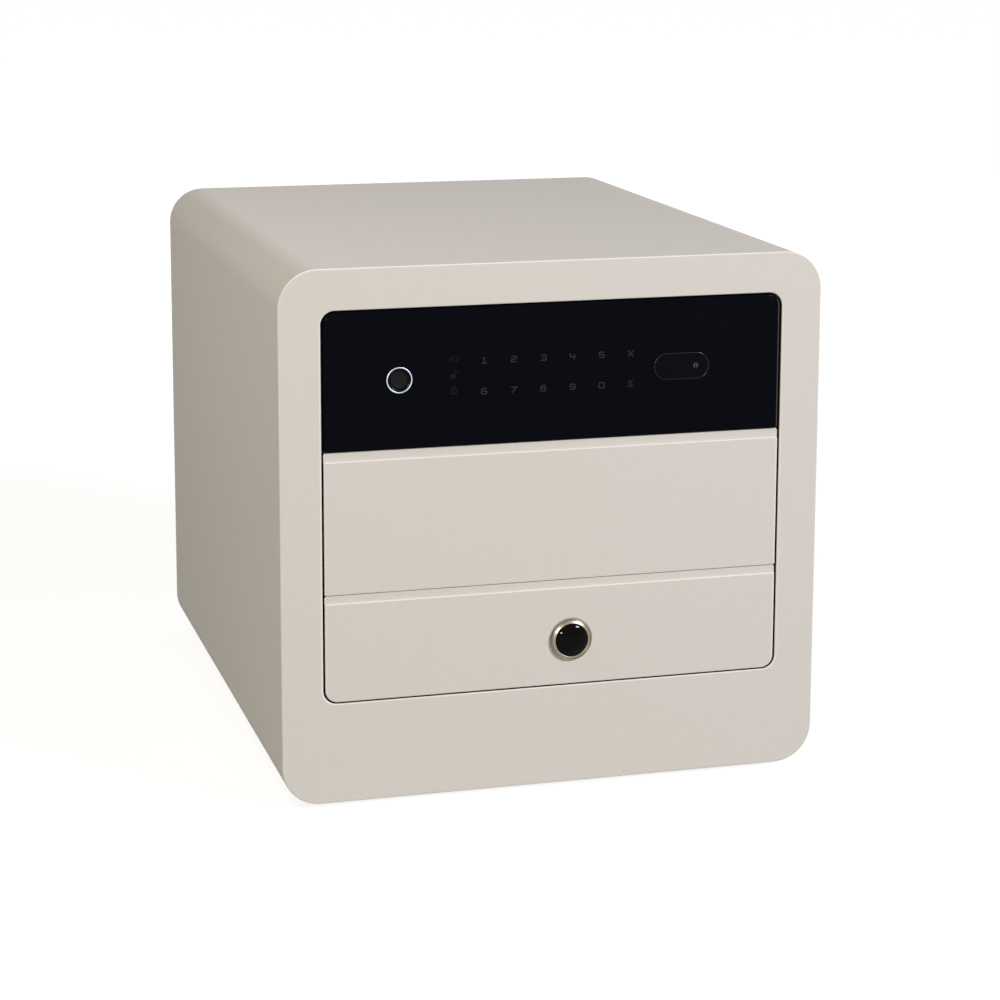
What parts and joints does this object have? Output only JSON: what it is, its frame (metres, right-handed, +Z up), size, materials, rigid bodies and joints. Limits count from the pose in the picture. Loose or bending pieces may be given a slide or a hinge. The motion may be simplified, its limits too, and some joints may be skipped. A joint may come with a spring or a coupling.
{
  "type": "under-desk drawer safe",
  "caption": "Steel cabinet with round corners, a black touch panel with fingerprint reader and keypad, an electronically bolted drawer and a push-button drawer below it.",
  "frame": {"origin": "on the floor, under the middle of the box that holds the whole safe with its feet and button", "axes": "+Z up, +Y from the drawer fronts to the back plate, +X to the right seen from the front"},
  "size_m": [0.4, 0.485, 0.387],
  "materials": {
    "powder_coat": "fine satin powder coat, warm light grey",
    "zinc_steel": "bright zinc plate",
    "satin_nickel": "satin nickel",
    "brass": "machined",
    "black_glass": "black back-printed, polished",
    "cover_black": "polished black",
    "gloss_black": "polished black",
    "sensor_black": "fine matt",
    "black_plastic": "moulded",
    "cell_wrap": "plain wrap",
    "board_green": "solder mask",
    "felt": "short pile",
    "rubber": "moulded"
  },
  "bodies": {
    "cabinet": {"outer_shell": "powder_coat", "front_frame": "powder_coat", "back_plate": "powder_coat", "plinth_deck": "zinc_steel", "drawer_divider": "powder_coat", "head_floor": "zinc_steel", "left_runner_panel": "powder_coat", "right_runner_panel": "powder_coat", "front_left_foot": "rubber", "front_right_foot": "rubber", "rear_left_foot": "rubber", "rear_right_foot": "rubber", "upper_left_cabinet_rail": "zinc_steel", "upper_right_cabinet_rail": "zinc_steel", "lower_left_cabinet_rail": "zinc_steel", "lower_right_cabinet_rail": "zinc_steel", "glass_panel": "black_glass", "panel_carrier": "black_plastic", "fingerprint_ring": "satin_nickel", "fingerprint_sensor": "sensor_black", "touch_board": "board_green", "key_cylinder": "zinc_steel", "left_bolt_guide": "zinc_steel", "right_bolt_guide": "zinc_steel", "motor_bracket": "zinc_steel", "lock_motor": "zinc_steel", "battery_box": "black_plastic", "battery_cell_1": "cell_wrap", "battery_cell_2": "cell_wrap", "battery_cell_3": "cell_wrap", "battery_cell_4": "cell_wrap", "main_board": "board_green", "wiring_loom": "black_plastic", "ejector_body": "zinc_steel"},
    "upper_drawer": {"upper_drawer_front": "powder_coat", "upper_drawer_box": "powder_coat", "upper_drawer_mat": "felt", "upper_strike_plate": "zinc_steel", "upper_left_drawer_rail": "zinc_steel", "upper_right_drawer_rail": "zinc_steel"},
    "upper_middle_rails": {"upper_left_middle_rail": "zinc_steel", "upper_right_middle_rail": "zinc_steel"},
    "lower_drawer": {"lower_drawer_front": "powder_coat", "lower_drawer_box": "powder_coat", "lower_drawer_mat": "felt", "button_rosette": "satin_nickel", "latch_case": "zinc_steel", "lower_left_drawer_rail": "zinc_steel", "lower_right_drawer_rail": "zinc_steel"},
    "lower_middle_rails": {"lower_left_middle_rail": "zinc_steel", "lower_right_middle_rail": "zinc_steel"},
    "bolt_work": {"bolt_bar": "zinc_steel"},
    "pinion": {"lock_pinion": "brass"},
    "cover": {"key_cover": "cover_black"},
    "plug": {"key_plug": "brass", "key_cam": "zinc_steel"},
    "battery_hatch": {"battery_cover": "black_plastic"},
    "ejector": {"ejector_plunger": "black_plastic"},
    "button": {"push_button": "gloss_black"},
    "latch": {"latch_bolt": "zinc_steel"}
  },
  "joints": [
    {"name": "upper_drawer_slide", "type": "slide", "parent": "cabinet", "child": "upper_drawer", "axis": [0, -1, 0], "range_m": [0, 0.36]},
    {"name": "upper_middle_slide", "type": "slide", "parent": "cabinet", "child": "upper_middle_rails", "axis": [0, -1, 0], "range_m": [0, 0.18]},
    {"name": "lower_drawer_slide", "type": "slide", "parent": "cabinet", "child": "lower_drawer", "axis": [0, -1, 0], "range_m": [0, 0.36]},
    {"name": "lower_middle_slide", "type": "slide", "parent": "cabinet", "child": "lower_middle_rails", "axis": [0, -1, 0], "range_m": [0, 0.18]},
    {"name": "bolt_throw", "type": "slide", "parent": "cabinet", "child": "bolt_work", "axis": [0, 0, -1], "range_m": [0, 0.012]},
    {"name": "pinion_turn", "type": "hinge", "parent": "cabinet", "child": "pinion", "pos_m": [0.012, -0.1925, 0.2952], "axis": [0, 1, 0], "range_deg": [-91.7, 0]},
    {"name": "key_cover_swing", "type": "hinge", "parent": "cabinet", "child": "cover", "pos_m": [0.097, -0.2355, 0.307], "axis": [0, 0, 1], "range_deg": [0, 85]},
    {"name": "key_plug_turn", "type": "hinge", "parent": "cabinet", "child": "plug", "pos_m": [0.084, -0.21, 0.307], "axis": [0, 1, 0], "range_deg": [0, 90]},
    {"name": "battery_cover_slide", "type": "slide", "parent": "cabinet", "child": "battery_hatch", "axis": [0, 1, 0], "range_m": [0, 0.05]},
    {"name": "ejector_slide", "type": "slide", "parent": "cabinet", "child": "ejector", "axis": [0, -1, 0], "range_m": [0, 0.018]},
    {"name": "button_press", "type": "slide", "parent": "lower_drawer", "child": "button", "axis": [0, 1, 0], "range_m": [0, 0.004], "stiffness_N_per_m": 500},
    {"name": "latch_throw", "type": "slide", "parent": "lower_drawer", "child": "latch", "axis": [0, 0, 1], "range_m": [0, 0.008]}
  ],
  "couplings": [
    {"joint": "upper_middle_slide", "follows": "upper_drawer_slide", "ratio": 0.5},
    {"joint": "lower_middle_slide", "follows": "lower_drawer_slide", "ratio": 0.5},
    {"joint": "ejector_slide", "follows": "upper_drawer_slide", "ratio": 0.05},
    {"joint": "pinion_turn", "follows": "bolt_throw", "rad_per_m": -133.33},
    {"joint": "latch_throw", "follows": "button_press", "ratio": 2}
  ]
}
